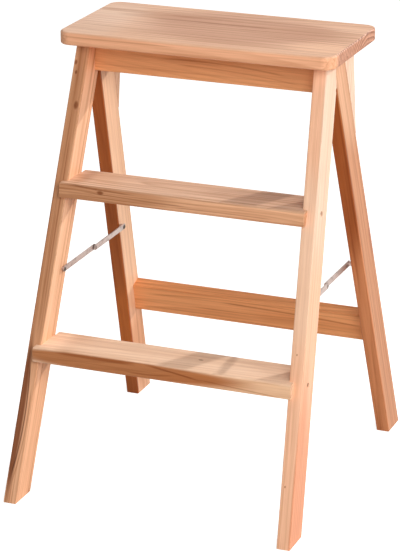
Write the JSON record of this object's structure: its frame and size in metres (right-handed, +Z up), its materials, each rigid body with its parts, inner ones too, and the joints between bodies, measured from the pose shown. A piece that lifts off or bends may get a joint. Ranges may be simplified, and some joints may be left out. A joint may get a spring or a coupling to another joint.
{
  "type": "folding step stool chair",
  "caption": "Wooden A-frame folding step stool: a flat seat board on a front frame with treads, hinged to a rear frame and held open by folding metal stays.",
  "frame": {"origin": "on the floor, at the middle of the footprint of the opened stool", "axes": "+Z up, -Y is the front where the treads are, X runs along the hinge line"},
  "size_m": [0.435, 0.5004, 0.65],
  "materials": {
    "seat_wood": "satin clear lacquer on pine",
    "tread_wood": "satin clear lacquer on pine",
    "front_leg_wood": "satin clear lacquer on pine",
    "rear_leg_wood": "satin clear lacquer on pine",
    "rail_wood": "satin clear lacquer on pine",
    "block_wood": "satin clear lacquer on pine",
    "dowel_wood": "plain beech",
    "screw_steel": "dark zinc",
    "hinge_steel": "dull zinc",
    "stay_steel": "satin",
    "rivet_steel": "satin"
  },
  "bodies": {
    "front_frame": {"seat_board": "seat_wood", "front_apron": "rail_wood", "mid_tread": "tread_wood", "lower_tread": "tread_wood", "front_leg_left": "front_leg_wood", "front_leg_right": "front_leg_wood", "seat_dowels": "dowel_wood", "apron_dowels": "dowel_wood", "tread_screws": "screw_steel", "hinge_leaf_front_left": "hinge_steel", "hinge_leaf_front_right": "hinge_steel", "hinge_pin_left": "hinge_steel", "hinge_pin_right": "hinge_steel", "hinge_screws_front": "screw_steel", "stay_screws_front": "screw_steel", "stay_spacer_front_left": "stay_steel", "stay_spacer_front_right": "stay_steel"},
    "rear_frame": {"rear_leg_left": "rear_leg_wood", "rear_leg_right": "rear_leg_wood", "rear_head_block_left": "block_wood", "rear_head_block_right": "block_wood", "rear_top_rail": "rail_wood", "rear_stretcher": "rail_wood", "stretcher_dowels": "dowel_wood", "rail_dowels": "dowel_wood", "hinge_leaf_rear_left": "hinge_steel", "hinge_leaf_rear_right": "hinge_steel", "hinge_screws_rear": "screw_steel", "stay_screws_rear": "screw_steel", "stay_spacer_rear_left": "stay_steel", "stay_spacer_rear_right": "stay_steel"},
    "stay_front_left": {"stay_link_front_left": "stay_steel", "stay_rivet_front_left": "rivet_steel"},
    "stay_rear_left": {"stay_link_rear_left": "stay_steel", "stay_rivet_rear_left": "rivet_steel"},
    "stay_front_right": {"stay_link_front_right": "stay_steel", "stay_rivet_front_right": "rivet_steel"},
    "stay_rear_right": {"stay_link_rear_right": "stay_steel", "stay_rivet_rear_right": "rivet_steel"}
  },
  "joints": [
    {"name": "frame_fold", "type": "hinge", "parent": "front_frame", "child": "rear_frame", "pos_m": [0, 0, 0.5866], "axis": [-1, 0, 0], "range_deg": [0, 37]},
    {"name": "stay_front_fold_left", "type": "hinge", "parent": "front_frame", "child": "stay_front_left", "pos_m": [-0.18286, -0.10856, 0.313], "axis": [0.9988, 0, -0.048], "range_deg": [0, 71.15]},
    {"name": "stay_rear_fold_left", "type": "hinge", "parent": "rear_frame", "child": "stay_rear_left", "pos_m": [-0.18286, 0.10006, 0.313], "axis": [-0.9988, 0, 0.048], "range_deg": [0, 58.44]},
    {"name": "stay_front_fold_right", "type": "hinge", "parent": "front_frame", "child": "stay_front_right", "pos_m": [0.18359, -0.10367, 0.298], "axis": [0.9988, 0, 0.048], "range_deg": [0, 65.58]},
    {"name": "stay_rear_fold_right", "type": "hinge", "parent": "rear_frame", "child": "stay_rear_right", "pos_m": [0.18359, 0.10517, 0.298], "axis": [-0.9988, 0, -0.048], "range_deg": [0, 69.24]}
  ],
  "couplings": [
    {"joint": "stay_front_fold_left", "follows": "frame_fold", "ratio": 1.9229},
    {"joint": "stay_rear_fold_left", "follows": "frame_fold", "ratio": 1.5794},
    {"joint": "stay_front_fold_right", "follows": "frame_fold", "ratio": 1.7723},
    {"joint": "stay_rear_fold_right", "follows": "frame_fold", "ratio": 1.8712}
  ]
}
